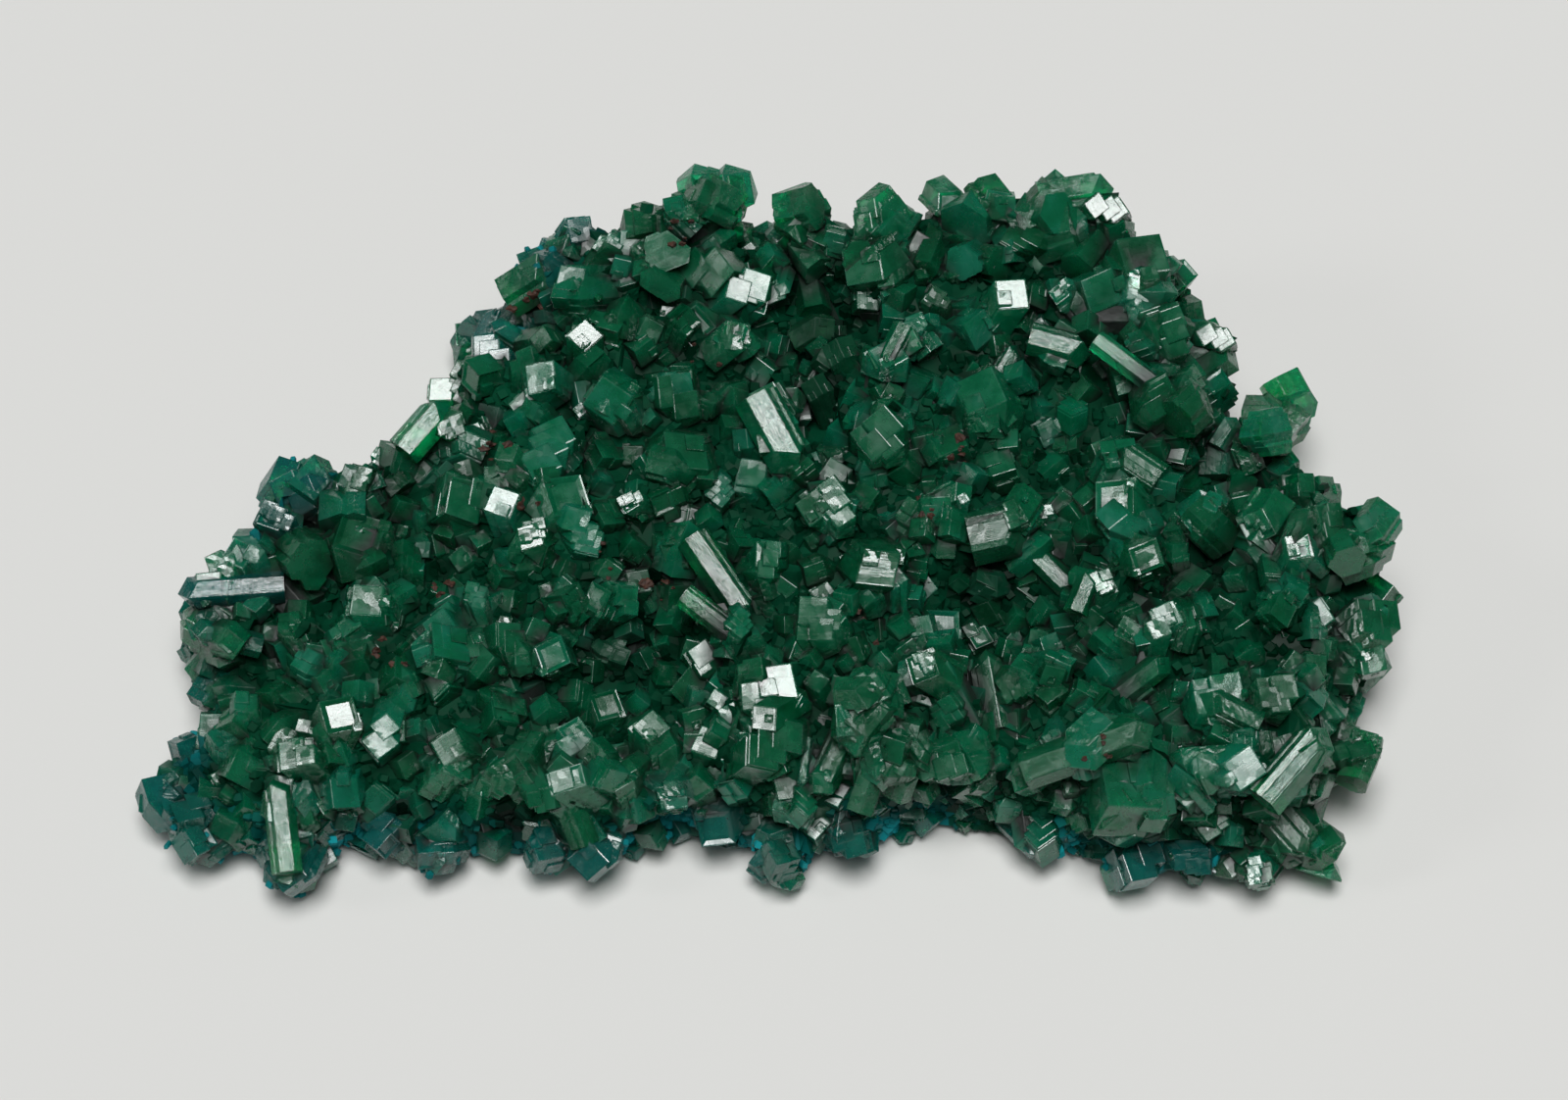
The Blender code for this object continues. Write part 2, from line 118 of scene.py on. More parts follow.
def single_crystal(tip, radius, length):
    """A plain crystal that points up: a prism whose end is cut by three slanting planes."""
    bpy.ops.object.select_all(action="DESELECT")
    middle = (tip[0], tip[1], tip[2] - length / 2)
    bpy.ops.mesh.primitive_cylinder_add(vertices=6, radius=radius, depth=length, location=middle)
    crystal = bpy.context.object
    bpy.ops.object.transform_apply(location=True, rotation=True, scale=True)
    bpy.ops.object.mode_set(mode="EDIT")
    for bearing in END_BEARINGS:
        outwards = Vector((math.cos(bearing), math.sin(bearing), 0)) * math.sin(END_FACE_SLOPE)
        outwards.z = math.cos(END_FACE_SLOPE)
        bpy.ops.mesh.select_all(action="SELECT")
        bpy.ops.mesh.bisect(
            plane_co=tip, plane_no=outwards, use_fill=True, clear_outer=True, threshold=CUT_SLACK
        )
    bpy.ops.object.mode_set(mode="OBJECT")
    lay_out_faces(crystal.data, radius)
    return crystal


def lay_out_faces(mesh, radius):
    """Gives each face a map from 0 to 1 across it; V is 0 along the top edge of a prism face."""
    layer = mesh.uv_layers.new(name="UVMap")
    for face in mesh.polygons:
        corners = [mesh.vertices[index].co for index in face.vertices]
        if face.normal.z < FACES_DOWN or len(corners) != 4:
            continue
        if face.normal.z > FACES_UP:
            top = max(range(4), key=lambda number: corners[number].z)
            for number, place in enumerate(((0, 0), (1, 0), (1, 1), (0, 1))):
                layer.uv[face.loop_start + (top + number) % 4].vector = place
            continue
        across = face.normal.cross(Vector((0, 0, 1))).normalized()
        low = min(corner.dot(across) for corner in corners)
        high = max(corner.dot(across) for corner in corners)
        upper = sorted(corners, key=lambda corner: corner.z)[2:]
        edge = (upper[1] - upper[0]).normalized()
        for number, corner in enumerate(corners):
            off = corner - upper[0]
            below = (off - edge * off.dot(edge)).length / radius
            layer.uv[face.loop_start + number].vector = ((corner.dot(across) - low) / (high - low), -below)


def sink_end_faces(crystal, chosen, margin, depth):
    """Lowers the middle of some end faces and leaves a frame round it; the first faces +Y."""
    bpy.ops.object.mode_set(mode="EDIT")
    bpy.ops.mesh.select_mode(type="FACE")
    bpy.ops.mesh.select_all(action="DESELECT")
    bpy.ops.object.mode_set(mode="OBJECT")
    ends = [face for face in crystal.data.polygons if 0.4 < face.normal.z < 0.9]
    ends.sort(key=lambda face: (-round(face.normal.y, 2), face.normal.x))
    for index in chosen:
        ends[index].select = True
    bpy.ops.object.mode_set(mode="EDIT")
    bpy.ops.mesh.inset(thickness=margin, depth=-depth, use_individual=True)
    bpy.ops.object.mode_set(mode="OBJECT")


def surface_height(x, y):
    """Height of the main crystal's end at a place beside its tip."""
    steepest = max(x * math.cos(bearing) + y * math.sin(bearing) for bearing in END_BEARINGS)
    return -END_FACE_DROP * steepest


def grow_mould(main_radius, sunk, count, radii, reach, lift, row=False):
    """One crystal with others beside it, spread round it or in a row like steps."""
    main = single_crystal((0, 0, 0), main_radius, MOULD_LENGTH)
    if sunk:
        margin = main_radius * mould_rng.uniform(*SUNK_FRAME)
        sink_end_faces(main, sunk, margin, mould_rng.uniform(1, 2) * SINK)
    row_bearing = mould_rng.uniform(0, 2 * math.pi)
    for number in range(count):
        radius = mould_rng.uniform(*radii)
        bearing = row_bearing if row else mould_rng.uniform(0, 2 * math.pi)
        distance = mould_rng.uniform(*reach)
        if row:
            distance = reach[0] + (reach[1] - reach[0]) * (number + 0.5) / count
        x, y = distance * math.cos(bearing), distance * math.sin(bearing)
        top = surface_height(x, y) + mould_rng.uniform(*lift)
        other = single_crystal((x, y, top), radius, MOULD_LENGTH + top)
        if mould_rng.random() < SUNK_NEIGHBOURS:
            sink_end_faces(other, [mould_rng.randrange(3)], radius * SMALL_SUNK_FRAME, SINK)
        union = main.modifiers.new("growth", "BOOLEAN")
        union.operation = "UNION"
        union.solver = "MANIFOLD"
        union.object = other
        bpy.context.view_layer.objects.active = main
        bpy.ops.object.modifier_apply(modifier=union.name)
        bpy.data.objects.remove(other)
    return main


mould_rng = random.Random(5)
MOULDS = {
    "plain": [
        grow_mould(1.0, [], 1, (0.5, 0.6), (0.5, 0.7), (0.04, 0.1)),
        grow_mould(1.0, [], 1, (0.3, 0.5), (0.5, 0.8), (0.03, 0.1)),
        grow_mould(1.0, [], 2, (0.3, 0.5), (0.3, 0.8), (0.03, 0.12)),
        grow_mould(1.0, [1], 2, (0.4, 0.5), (0.5, 0.7), (0.05, 0.15)),
    ],
    "stepped": [
        grow_mould(1.0, [0, 1], 3, (0.25, 0.5), (0.3, 0.9), (0.03, 0.16)),
        grow_mould(1.0, [], 4, (0.2, 0.45), (0.3, 0.9), (0.03, 0.2)),
        grow_mould(0.85, [1], 3, (0.45, 0.7), (0.4, 0.6), (-0.05, 0.2)),
        grow_mould(0.8, [], 5, (0.3, 0.6), (0.4, 0.7), (-0.1, 0.15)),
        grow_mould(0.75, [2], 4, (0.5, 0.65), (0.4, 0.6), (-0.15, 0.15)),
        grow_mould(0.9, [], 6, (0.2, 0.35), (0.3, 0.85), (0.05, 0.18)),
        grow_mould(0.7, [0], 6, (0.35, 0.5), (0.45, 0.65), (-0.2, 0.2)),
        grow_mould(0.7, [], 4, (0.6, 0.7), (-0.6, 0.7), (0.0, 0.12), row=True),
        grow_mould(0.8, [0], 5, (0.5, 0.6), (-0.7, 0.7), (0.04, 0.2), row=True),
    ],
    "small": [
        grow_mould(1.0, [], 0, (0.3, 0.5), (0.3, 0.8), (0.0, 0.1)),
        grow_mould(1.0, [], 1, (0.4, 0.6), (0.4, 0.7), (0.0, 0.15)),
        grow_mould(0.85, [], 2, (0.4, 0.6), (0.5, 0.7), (-0.1, 0.15)),
    ],
}
tiny_mould = MOULDS["small"][0]


# The crust under the crystals, a thin layer that the first of them grew from. It is the packed
# solid, rounded off and drawn in a little. Its smoothed surface also says which way is outwards
# for the crystals that stand on it.
CRUST_GRAIN = 1.0 * MM
CRUST_DRAWN_IN = 1.7 * MM
CRUST_SMOOTHING = 4
OUTWARDS_SMOOTHING = 14
UNDERSIDE_KEPT = 0.6
SHARE_OF_FACES_KEPT = 0.35
SAME_POINT = 0.001 * MM

merged = bmesh.new()
merged.from_mesh(solid.data)
bmesh.ops.remove_doubles(merged, verts=merged.verts, dist=SAME_POINT)
solid_surface = BVHTree.FromBMesh(merged)
core_mesh = bpy.data.meshes.new("crust_core")
merged.to_mesh(core_mesh)
merged.free()
core = bpy.data.objects.new("crust_core", core_mesh)
bpy.context.scene.collection.objects.link(core)


def apply(obj, kind, **settings):
    modifier = obj.modifiers.new(kind, kind)
    for name, value in settings.items():
        setattr(modifier, name, value)
    bpy.context.view_layer.objects.active = obj
    bpy.ops.object.modifier_apply(modifier=modifier.name)


apply(core, "REMESH", mode="VOXEL", voxel_size=CRUST_GRAIN)
apply(core, "SMOOTH", factor=0.5, iterations=CRUST_SMOOTHING)
outwards = core.copy()
outwards.data = core.data.copy()
bpy.context.scene.collection.objects.link(outwards)
apply(outwards, "SMOOTH", factor=0.5, iterations=OUTWARDS_SMOOTHING)
smooth_mesh = bmesh.new()
smooth_mesh.from_mesh(outwards.data)
smooth_surface = BVHTree.FromBMesh(smooth_mesh)
smooth_mesh.free()
bpy.data.objects.remove(outwards)
for vertex in core.data.vertices:
    pull = CRUST_DRAWN_IN * min(1.0, max(0.0, vertex.normal.z + UNDERSIDE_KEPT))
    vertex.co = vertex.co - vertex.normal * pull
    vertex.co.z = max(vertex.co.z, 0)
apply(core, "DECIMATE", ratio=SHARE_OF_FACES_KEPT)
core_shape = bmesh.new()
core_shape.from_mesh(core.data)
core_surface = BVHTree.FromBMesh(core_shape)
core_shape.free()


# The crystals that the picture shows plainly: middle and side of the face that they show, in
# pixels, and the turn of its sides in degrees. The first ones flash in the lamp's light, the next
# are dull silver, and the last stay green.
END_FACE_SIDE = math.sqrt(1 + (END_FACE_DROP / 2) ** 2)
END_FACE_DIAGONAL = math.sqrt(1 + END_FACE_DROP**2)
LAMP_ELEVATION = math.radians(82)
FLASHING = [
    (450, 397, 24, 0), (597, 342, 26, 45), (1133, 213, 29, 35), (1033, 300, 31, 5), (347, 729, 34, 15),
    (512, 512, 28, -20), (1124, 596, 20, 20), (1285, 888, 24, 10), (1326, 557, 25, 10), (793, 696, 36, 10),
    (644, 513, 21, 30), (541, 547, 24, 15), (680, 318, 12, -10), (592, 418, 12, 40), (1065, 332, 14, 30),
    (374, 461, 14, 60), (1160, 286, 18, -10), (1068, 521, 13, 10), (905, 616, 13, 20), (983, 508, 10, 30),
]
SILVERY = [
    (768, 292, 34, -16), (1244, 345, 26, 30),
    (480, 343, 31, 5), (661, 257, 29, -35), (618, 250, 22, -35), (585, 290, 36, -15), (750, 343, 30, -5),
    (933, 332, 24, 20), (907, 361, 29, 30), (969, 207, 24, -5), (1161, 297, 26, -10), (1085, 300, 24, 30),
    (1137, 508, 38, 0), (1170, 568, 30, 15), (1190, 630, 28, 20), (846, 515, 40, 35), (597, 546, 36, -10),
    (896, 579, 38, -10), (834, 627, 38, 0), (773, 711, 32, 10), (1268, 783, 36, 30), (1308, 705, 32, 10),
    (303, 773, 35, 10), (206, 575, 25, 20), (245, 571, 36, -32), (279, 530, 30, -20), (361, 490, 30, -20),
    (376, 614, 34, 0), (459, 433, 27, 20), (552, 385, 30, 10), (1037, 524, 24, 20),
    (941, 680, 28, 15), (687, 811, 28, 10), (1248, 707, 40, 5), (1401, 673, 26, 15), (1002, 645, 28, 25),
]
GREEN = [
    (724, 277, 43, 30), (739, 204, 46, 20), (803, 209, 30, -5), (880, 270, 40, 0), (890, 226, 38, -5),
    (1126, 298, 40, 30), (1165, 262, 50, 10), (1040, 242, 30, 60), (1018, 210, 30, -5), (561, 451, 46, 25),
    (620, 411, 42, 40), (579, 505, 40, 20), (477, 510, 42, -5), (297, 501, 38, 15), (367, 545, 45, -10),
    (525, 653, 36, 10), (460, 655, 38, 5), (786, 762, 45, 0), (962, 774, 40, 10), (1153, 800, 52, 5),
    (1396, 540, 30, 20), (1412, 630, 38, 10), (1355, 530, 30, 15), (1282, 538, 30, 10), (1143, 462, 34, 5),
    (1190, 340, 42, 25), (1000, 400, 44, 15), (900, 440, 40, 30), (700, 460, 42, 5), (690, 400, 38, 20),
    (165, 805, 34, 20), (205, 850, 34, 40), (292, 890, 30, 30), (384, 848, 30, 45), (440, 858, 30, 10),
    (560, 860, 34, 20), (600, 878, 30, 35), (730, 846, 34, 10), (800, 864, 34, 25), (868, 860, 30, 5),
    (1062, 846, 32, 35), (1165, 880, 34, 20), (1218, 876, 30, 0), (1340, 850, 34, 30), (1382, 760, 32, 20),
]
lamp_direction = Vector((0, -math.cos(LAMP_ELEVATION), math.sin(LAMP_ELEVATION)))
growth_rng = random.Random(3)
crystals = []
tips_by_cell = {}
shown_faces = []
CELL = 3 * MM
ROOT_IN_CRUST = 1.0 * MM
ROOT_IN_CRUST_RADII = 0.8
USUAL_GAP_RADII = 1.2
SHORTEST_RADII = 1.5
PROBE_RADII = 2.6
DEEPEST_GAP = 4.5 * MM
PLATE_MIDDLE_PX = (800, 560)
STEP_INWARDS = 0.01
LOW_AT_BACK = 7 * MM
FRONT_HALF = 5 * MM
CLEAR_OF_TABLE = 0.4 * MM
FAR_FROM_LAMP = math.cos(math.radians(34))
KEPT_CLEAR_SIDE = 0.38
KEPT_CLEAR_RADIUS = 0.4
BEHIND_RADII = 0.2


def sight_line(px, py):
    """Direction from the eye to what a pixel shows."""
    across = Vector((px - PICTURE_CENTRE[0], 0, 0))
    return (across + upwards * (PICTURE_CENTRE[1] - py) - backwards * VIEW_DISTANCE / PX).normalized()


def place_on_solid(px, py):
    """The point of the solid seen at a pixel, or at the nearest one inside the rim's upper edge."""
    while True:
        point, normal, _, _ = solid_surface.ray_cast(eye, sight_line(px, py))
        if point is not None and (point.z > LOW_AT_BACK or point.y < FRONT_HALF):
            return point, normal
        px += (PLATE_MIDDLE_PX[0] - px) * STEP_INWARDS
        py += (PLATE_MIDDLE_PX[1] - py) * STEP_INWARDS


def turn_of(axis, towards_a_face):
    """Turn that lays Z along the crystal's axis, and Y towards one of its end faces."""
    y = (towards_a_face - axis * towards_a_face.dot(axis)).normalized()
    return Matrix((y.cross(axis), y, axis)).transposed()


def depth_in_crust(point):
    """How deep a point lies in the crust; below zero outside it."""
    surface, normal, _, distance = core_surface.find_nearest(point)
    return distance if (point - surface).dot(normal) < 0 else -distance


def root_length(tip, axis, radius):
    """Length of a crystal whose root ends inside the crust and off the table."""
    distance = core_surface.ray_cast(tip, -axis)[3]
    lean = math.sqrt(max(0, 1 - axis.z**2))
    if distance is None or distance > DEEPEST_GAP:
        distance = USUAL_GAP_RADII * radius
    length = distance + radius * ROOT_IN_CRUST_RADII + ROOT_IN_CRUST
    if axis.z > 0.05:
        length = min(length, (tip.z - radius * lean - CLEAR_OF_TABLE) / axis.z)
    return max(length, SHORTEST_RADII * radius)


def cell_of(point):
    return tuple(math.floor(value / CELL) for value in point)


def add_crystal(tip, turn, radius, kind, shine, length=None):
    """Notes down a crystal to grow, with a root that reaches the crust unless a length is given."""
    length = length or root_length(tip, turn.col[2].copy(), radius)
    crystals.append((tip, turn, radius, kind, shine, length))
    tips_by_cell.setdefault(cell_of(tip), []).append((tip, radius))


def tip_is_free(tip, radius, spacing):
    """Whether no other tip is nearer than a share of both radii."""
    x, y, z = cell_of(tip)
    for off_x, off_y, off_z in product(range(-2, 3), repeat=3):
        for other, other_radius in tips_by_cell.get((x + off_x, y + off_y, z + off_z), ()):
            if (tip - other).length < spacing * (radius + other_radius):
                return False
    return True


def hides_a_shown_face(tip, radius):
    """Whether a crystal would stand in front of a face that the picture shows."""
    for centre, towards_eye, side in shown_faces:
        ahead = (tip - centre).dot(towards_eye)
        if ahead < -BEHIND_RADII * radius:
            continue
        beside = (tip - centre - towards_eye * ahead).length
        if beside < KEPT_CLEAR_SIDE * side + KEPT_CLEAR_RADIUS * radius:
            return True
    return False


for faces, kinds, shine in (
    (FLASHING, ("plain", "stepped"), 1.0), (SILVERY, ("stepped",), 0.42), (GREEN, ("stepped",), 0.1)
):
    for px, py, side_px, turn in faces:
        centre, normal = place_on_solid(px, py)
        line = (centre - eye).normalized()
        towards_lamp = (lamp_direction - line).normalized()
        if normal.dot(towards_lamp) < FAR_FROM_LAMP or shine == 1.0:
            normal = towards_lamp
        side = side_px * PX
        radius = side / END_FACE_SIDE
        right = Vector((0, 1, 0)).cross(normal).normalized()
        up = normal.cross(right)
        deepest = None
        for quarter in range(4):
            bearing = math.radians(turn + 45 + 90 * quarter)
            to_apex = right * math.cos(bearing) + up * math.sin(bearing)
            tip = centre + to_apex * END_FACE_DIAGONAL / 2 * radius
            axis = normal * math.cos(END_FACE_SLOPE) + to_apex * math.sin(END_FACE_SLOPE)
            depth = depth_in_crust(tip - axis * PROBE_RADII * radius)
            if deepest is None or depth > deepest:
                deepest = depth
                chosen = (tip, turn_of(axis, normal))
        shown_faces.append((centre, -line, side))
        add_crystal(*chosen, radius, growth_rng.choice(kinds), shine * growth_rng.uniform(0.8, 1.0))


# Crystals that lie on their side and show a long grooved face: root and tip in the picture and
# width there, in pixels, how much they shine, and whether the face is turned to the lamp.
LYING = [
    (556, 364, 496, 326, 22, 0.5, False), (1142, 362, 1192, 402, 24, 0.6, True),
    (712, 618, 764, 658, 26, 0.6, False), (1048, 556, 1104, 612, 28, 0.4, False),
    (1076, 776, 1184, 738, 40, 0.3, False), (1146, 706, 1196, 668, 28, 0.2, False),
    (1268, 456, 1318, 418, 36, 0.1, False), (250, 655, 190, 640, 26, 0.2, False),
    (724, 572, 762, 630, 34, 1.0, True), (256, 598, 184, 604, 34, 0.9, True),
    (290, 858, 282, 792, 30, 0.95, True), (1310, 792, 1352, 742, 42, 0.75, True),
    (400, 434, 430, 398, 36, 0.9, True), (1070, 348, 1112, 360, 34, 0.95, True),
    (784, 426, 812, 480, 46, 0.85, True), (296, 885, 306, 850, 26, 0.6, True),
    (822, 768, 818, 802, 12, 0.8, True), (1024, 378, 1040, 350, 28, 0.5, True),
    (1104, 610, 1116, 580, 26, 0.6, True), (916, 345, 900, 378, 26, 0.6, True),
]
LIFT_OF_LYING = 0.35
LEAN_OF_LYING = 0.12
BARE_SHARE = 0.36
LEAST_RADII = 2.2
PAST_THE_ENDS = {True: 1.5, False: 1.2}

for root_x, root_y, tip_x, tip_y, width_px, shine, to_lamp in LYING:
    middle, _ = place_on_solid((root_x + tip_x) / 2, (root_y + tip_y) / 2)
    radius = width_px * PX / 2
    towards_eye = (eye - middle).normalized()
    facing = (towards_eye + lamp_direction).normalized() if to_lamp else towards_eye
    along = Vector((tip_x - root_x, 0, 0)) - upwards * (tip_y - root_y)
    length = max(LEAST_RADII * radius, PAST_THE_ENDS[to_lamp] * PX * along.length)
    axis = (along - facing * along.dot(facing)).normalized()
    if not to_lamp:
        axis = (axis + facing * LEAN_OF_LYING).normalized()
    tip = middle + axis * length * BARE_SHARE - facing * radius * (1 - LIFT_OF_LYING)
    corner = (facing - axis * facing.dot(axis)).normalized()
    corner.rotate(Matrix.Rotation(math.radians(30), 3, axis))
    shown_faces.append((middle, towards_eye, width_px * PX))
    add_crystal(tip, turn_of(axis, corner), radius, "plain", shine, length)


# The solid's other crystals. A tip is a corner where three end faces of one crystal meet, each at
# the same angle to the other two, and their normals add up to its axis. None grows in the dark
# hollows, which are given by their middle and radius in the picture, in pixels.
# The colour of the crystals and of the crust is also painted dark in these hollows, as shade.
HOLLOWS = [
    (636, 660, 38), (825, 300, 22), (838, 392, 22), (1003, 594, 34), (1240, 560, 26), (1272, 478, 24),
    (872, 700, 22), (680, 576, 22), (1105, 560, 16), (845, 330, 22), (828, 360, 20), (524, 830, 22),
    (413, 831, 18), (1010, 800, 14),
]


def shown_at(point):
    """The pixel where a point is seen."""
    ahead = (eye - point).dot(backwards)
    scale = VIEW_DISTANCE / PX / ahead
    return (
        PICTURE_CENTRE[0] + (point - eye).x * scale,
        PICTURE_CENTRE[1] - (point - eye).dot(upwards) * scale,
    )


def in_a_hollow(tip):
    px, py = shown_at(tip)
    return any(math.hypot(px - x, py - y) < size for x, y, size in HOLLOWS)


END_FACES_COSINE = math.cos(END_FACE_SLOPE) ** 2 - 0.5 * math.sin(END_FACE_SLOPE) ** 2
ANGLE_SLACK = 0.02
FLAT = math.radians(0.5)
RADII_ON_SOLID = (1.7 * MM, 2.6 * MM)
REGROWN_SHARE = (0.72, 0.92)
REGROWN_SPACING = 0.45
LEAST_OUTWARDS = 0.5
MOST_SHINE = 0.3

faceted = bmesh.new()
faceted.from_mesh(solid.data)
bmesh.ops.remove_doubles(faceted, verts=faceted.verts, dist=SAME_POINT)
bmesh.ops.dissolve_limit(faceted, angle_limit=FLAT, verts=faceted.verts, edges=faceted.edges)
for vertex in faceted.verts:
    normals = [face.normal for face in vertex.link_faces]
    if len(normals) != 3:
        continue
    a, b, c = normals
    if max(abs(cosine - END_FACES_COSINE) for cosine in (a.dot(b), b.dot(c), c.dot(a))) > ANGLE_SLACK:
        continue
    axis = (a + b + c).normalized()
    if max(axis.dot(edge.other_vert(vertex).co - vertex.co) for edge in vertex.link_edges) > 0:
        continue
    tip = vertex.co.copy()
    longest = max(edge.calc_length() for edge in vertex.link_edges) / END_FACE_SIDE
    radius = min(max(longest, RADII_ON_SOLID[0]), RADII_ON_SOLID[1])
    radius *= growth_rng.uniform(*REGROWN_SHARE)
    gap = core_surface.ray_cast(tip, -axis)[3]
    if gap is None or gap > DEEPEST_GAP:
        continue
    if axis.dot(smooth_surface.find_nearest(tip)[1]) < LEAST_OUTWARDS:
        continue
    if not tip_is_free(tip, radius, REGROWN_SPACING) or in_a_hollow(tip):
        continue
    if hides_a_shown_face(tip, radius):
        continue
    add_crystal(tip, turn_of(axis, a), radius, "stepped", growth_rng.random() * MOST_SHINE)
faceted.free()


# Smaller crystals in the gaps between those, on every side but the one that the plate lies on. How
# many are tried, their radii, the least distance between tips as a share of both radii, and how far
# the tips stand out in radii.
GAP_FILLERS = [
    (7000, (1.7 * MM, 2.3 * MM), 0.6, (-0.4, 0.3)),
    (15000, (1.2 * MM, 1.7 * MM), 0.52, (-0.5, 0.2)),
]
GAP_FILLERS_LEAN = (5, 52)
STEPPED_FROM = 1.55 * MM
PLAIN_FROM = 1.15 * MM
STEEP = 0.2
UPTURN_AT_TABLE = 0.35
ROOM_BELOW_TIP = 1.3
box_low, box_high = Vector(solid_box[0]), Vector(solid_box[1])


def triangles_to_cover(mesh, most_downwards, least_height):
    """A mesh's triangles and their running area, without those under the plate."""
    mesh.calc_loop_triangles()
    triangles = []
    running_area = []
    covered = 0.0
    for triangle in mesh.loop_triangles:
        corners = [mesh.vertices[index].co.copy() for index in triangle.vertices]
        if triangle.normal.z < -most_downwards or max(corner.z for corner in corners) < least_height:
            continue
        covered += triangle.area
        triangles.append(corners)
        running_area.append(covered)
    return triangles, running_area


def point_in(a, b, c):
    """A place picked at random in a triangle."""
    u, v = growth_rng.random(), growth_rng.random()
    if u + v > 1:
        u, v = 1 - u, 1 - v
    return a + (b - a) * u + (c - a) * v


def leaning(normal, lean, bearing):
    """An axis that leans away from a normal, to the side that its bearing gives."""
    sideways = normal.orthogonal().normalized()
    sideways.rotate(Matrix.Rotation(bearing, 3, normal))
    return (normal * math.cos(lean) + sideways * math.sin(lean)).normalized()


def kind_for(radius):
    return "stepped" if radius > STEPPED_FROM else "plain" if radius > PLAIN_FROM else "small"


def inside_box(point):
    return box_low.x < point.x < box_high.x and box_low.y < point.y < box_high.y


solid_triangles, solid_area = triangles_to_cover(solid.data, 0.5, 0.5 * MM)
for tries, radii, spacing, lift in GAP_FILLERS:
    for _ in range(tries):
        point = point_in(*growth_rng.choices(solid_triangles, cum_weights=solid_area)[0])
        radius = growth_rng.uniform(*radii)
        _, normal, _, _ = smooth_surface.find_nearest(point)
        if point.z < 2 * radius and normal.z < STEEP:
            normal = Vector((normal.x, normal.y, UPTURN_AT_TABLE)).normalized()
        lean = math.radians(growth_rng.uniform(*GAP_FILLERS_LEAN))
        axis = leaning(normal, lean, growth_rng.uniform(0, 2 * math.pi))
        tip = point + normal * growth_rng.uniform(*lift) * radius
        spin = Matrix.Rotation(growth_rng.uniform(0, 2 * math.pi / 3), 3, "Z")
        shine = growth_rng.random() ** 2 * MOST_SHINE
        if tip.z < CLEAR_OF_TABLE + ROOM_BELOW_TIP * radius or not tip_is_free(tip, radius, spacing):
            continue
        if not inside_box(tip) or in_a_hollow(tip) or hides_a_shown_face(tip, radius):
            continue
        gap = core_surface.ray_cast(tip, -axis)[3]
        if gap is None or gap > DEEPEST_GAP:
            continue
        turn = axis.to_track_quat("Z", "Y").to_matrix() @ spin
        add_crystal(tip, turn, radius, kind_for(radius), shine)


# More crystals wherever the crust would still show between those, seen from straight above it or
# from the eye. They come in two rounds, the larger ones first.
BARE_CRUST_TRIES = 9000
CRUST_FILLERS = [(1.2 * MM, 1.6 * MM), (0.8 * MM, 1.2 * MM)]
CRUST_FILLERS_LEAN = (5, 45)
CRUST_FILLERS_REACH = (0.5, 0.95)
CRUST_FILLERS_SPACING = 0.5
LEFT_OUT_OF_HOLLOWS = 0.7
USUAL_DEPTH = 1.5 * MM
ABOVE_CRUST = 0.1 * MM
ROOT_SLACK = 0.01


def surface_of_crystals():
    """The crystals noted down so far, as plain prisms that rays can be cast at."""
    points = []
    faces = []
    for tip, turn, radius, _, _, length in crystals:
        start = len(points)
        for vertex in tiny_mould.data.vertices:
            local = vertex.co.copy()
            if local.z < -MOULD_LENGTH + ROOT_SLACK:
                local.z = -length / radius
            points.append(tip + turn @ (local * radius))
        faces.extend([start + index for index in face.vertices] for face in tiny_mould.data.polygons)
    return BVHTree.FromPolygons(points, faces)


crust_triangles, crust_area = triangles_to_cover(core.data, 0.6, 0.6 * MM)
for radii in CRUST_FILLERS:
    cover = surface_of_crystals()
    for _ in range(BARE_CRUST_TRIES):
        a, b, c = growth_rng.choices(crust_triangles, cum_weights=crust_area)[0]
        point = (a + b + c) / 3
        _, normal, _, _ = smooth_surface.find_nearest(point)
        radius = growth_rng.uniform(*radii)
        outwards = growth_rng.choice((normal, (eye - point).normalized()))
        if cover.ray_cast(point + normal * ABOVE_CRUST, outwards)[0] is not None:
            continue
        if normal.z < UPTURN_AT_TABLE:
            normal = Vector((normal.x, normal.y, UPTURN_AT_TABLE)).normalized()
        out = solid_surface.ray_cast(point, normal)[3] or USUAL_DEPTH
        if in_a_hollow(point) and growth_rng.random() < LEFT_OUT_OF_HOLLOWS:
            continue
        bearing = growth_rng.uniform(0, 2 * math.pi)
        axis = leaning(normal, math.radians(growth_rng.uniform(*CRUST_FILLERS_LEAN)), bearing)
        tip = point + normal * max(radius, out * growth_rng.uniform(*CRUST_FILLERS_REACH))
        if tip.z < CLEAR_OF_TABLE + ROOM_BELOW_TIP * radius or hides_a_shown_face(tip, radius):
            continue
        if not tip_is_free(tip, radius, CRUST_FILLERS_SPACING):
            continue
        spin = Matrix.Rotation(growth_rng.uniform(0, 2 * math.pi / 3), 3, "Z")
        turn = axis.to_track_quat("Z", "Y").to_matrix() @ spin
        add_crystal(tip, turn, radius, kind_for(radius), growth_rng.random() ** 2 * MOST_SHINE)


